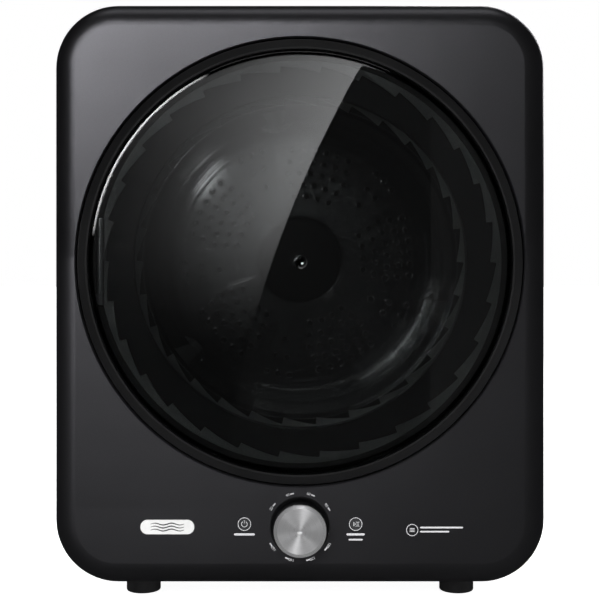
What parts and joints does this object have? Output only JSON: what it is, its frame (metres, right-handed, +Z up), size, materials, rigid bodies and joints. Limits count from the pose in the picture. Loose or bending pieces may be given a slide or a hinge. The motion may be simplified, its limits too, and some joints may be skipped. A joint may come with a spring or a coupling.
{
  "type": "clothes dryer",
  "caption": "Compact front-loading vented clothes dryer: round glass door in a pillowed panel, dial and keys below, drum, fan, motor and heater inside.",
  "frame": {"origin": "on the floor, under the middle of the whole object's box", "axes": "+Z up, the door and controls face -Y, +X is to the right of somebody facing the door"},
  "size_m": [0.595, 0.561, 0.719],
  "materials": {
    "graphite_panel": "satin metallic graphite",
    "graphite_steel": "satin metallic graphite",
    "black_trim": "fine matt",
    "door_glass": "tinted gloss",
    "bowl_glass": "clear gloss",
    "black_plastic": "moulded",
    "seal_rubber": "matt",
    "foot_rubber": "matt",
    "galvanised": "zinc-coated sheet",
    "bright_steel": "machined",
    "drum_steel": "stainless",
    "lifter_plastic": "moulded",
    "spun_aluminium": "radially spun",
    "key_plastic": "satin",
    "badge_white": "gloss",
    "felt": "pressed wool felt",
    "board_green": "solder mask",
    "bronze": "sintered",
    "roller_rubber": "matt",
    "motor_steel": "painted",
    "pulley_white": "moulded",
    "element_steel": "heat-tinted",
    "capacitor_shell": "drawn can"
  },
  "bodies": {
    "cabinet": {"cabinet_wrap": "graphite_steel", "front_panel": "graphite_panel", "front_bulkhead": "galvanised", "rear_panel": "galvanised", "base_pan": "galvanised", "levelling_feet": "foot_rubber", "hinge_bracket": "bright_steel", "hinge_pin": "bright_steel", "door_catch": "black_plastic", "encoder_housing": "black_plastic", "control_board": "board_green", "control_housing": "black_plastic", "badge_plate": "badge_white", "rear_bearing": "bronze", "bearing_housing": "galvanised", "front_felt": "felt", "rear_felt": "felt", "roller_axles": "bright_steel", "motor_casing": "motor_steel", "motor_cradle": "galvanised", "drive_belt": "seal_rubber", "idler_spring": "bright_steel", "blower_housing": "black_plastic", "front_duct": "black_plastic", "lint_filter": "black_plastic", "exhaust_elbow": "galvanised", "exhaust_pipe": "galvanised", "exhaust_collar": "black_plastic", "heater_pan": "galvanised", "heater_element": "element_steel", "thermostats": "element_steel", "start_capacitor": "capacitor_shell", "cord_gland": "black_plastic", "cabinet_screws": "bright_steel"},
    "door": {"door_trim_ring": "black_trim", "door_window": "door_glass", "door_frame": "black_plastic", "door_bowl": "bowl_glass", "door_back_cover": "black_plastic", "door_seal": "seal_rubber", "door_hinge_leaf": "bright_steel", "door_striker": "bright_steel", "door_screws": "bright_steel"},
    "drum": {"drum_shell": "drum_steel", "drum_rear_wall": "drum_steel", "drum_hub_cap": "black_plastic", "drum_axle": "bright_steel", "drum_lifters": "lifter_plastic"},
    "rotor": {"motor_shaft": "bright_steel", "motor_pulley": "pulley_white", "blower_impeller": "pulley_white"},
    "roller_left": {"support_roller_left": "roller_rubber"},
    "roller_right": {"support_roller_right": "roller_rubber"},
    "tension_arm": {"idler_arm": "bright_steel"},
    "tension_pulley": {"idler_pulley": "pulley_white"},
    "dial": {"knob_cap": "spun_aluminium", "control_knob": "black_trim", "knob_shaft": "bright_steel"},
    "power_key": {"power_button": "key_plastic"},
    "start_key": {"start_button": "key_plastic"}
  },
  "joints": [
    {"name": "door_swing", "type": "hinge", "parent": "cabinet", "child": "door", "pos_m": [-0.2375, -0.2555, 0.407], "axis": [0, 0, -1], "range_deg": [0, 90]},
    {"name": "drum_spin", "type": "hinge", "parent": "cabinet", "child": "drum", "pos_m": [0, 0.1865, 0.407], "axis": [0, 1, 0], "continuous": true},
    {"name": "rotor_spin", "type": "hinge", "parent": "cabinet", "child": "rotor", "pos_m": [0.17, -0.0045, 0.1], "axis": [0, 1, 0], "continuous": true},
    {"name": "roller_left_spin", "type": "hinge", "parent": "cabinet", "child": "roller_left", "pos_m": [-0.15386, -0.1695, 0.16077], "axis": [0, 1, 0], "continuous": true},
    {"name": "roller_right_spin", "type": "hinge", "parent": "cabinet", "child": "roller_right", "pos_m": [0.15386, -0.1695, 0.16077], "axis": [0, 1, 0], "continuous": true},
    {"name": "tension_arm_swing", "type": "hinge", "parent": "cabinet", "child": "tension_arm", "pos_m": [0.045, 0.0675, 0.11], "axis": [0, -1, 0], "range_deg": [0, 14], "stiffness_Nm_per_rad": 6, "springref_deg": -14.32, "deforming": ["idler_spring"]},
    {"name": "tension_pulley_spin", "type": "hinge", "parent": "tension_arm", "child": "tension_pulley", "pos_m": [0.105, 0.0905, 0.066], "axis": [0, 1, 0], "continuous": true},
    {"name": "dial_turn", "type": "hinge", "parent": "cabinet", "child": "dial", "pos_m": [0, -0.2645, 0.089], "axis": [0, 1, 0], "continuous": true},
    {"name": "power_key_press", "type": "slide", "parent": "cabinet", "child": "power_key", "axis": [0, 1, 0], "range_m": [0, 0.0012], "stiffness_N_per_m": 900},
    {"name": "start_key_press", "type": "slide", "parent": "cabinet", "child": "start_key", "axis": [0, 1, 0], "range_m": [0, 0.0012], "stiffness_N_per_m": 900}
  ],
  "couplings": [
    {"joint": "rotor_spin", "follows": "drum_spin", "ratio": 23.291},
    {"joint": "roller_left_spin", "follows": "drum_spin", "ratio": -10.154},
    {"joint": "roller_right_spin", "follows": "drum_spin", "ratio": -10.154},
    {"joint": "tension_pulley_spin", "follows": "drum_spin", "ratio": 11.828}
  ]
}
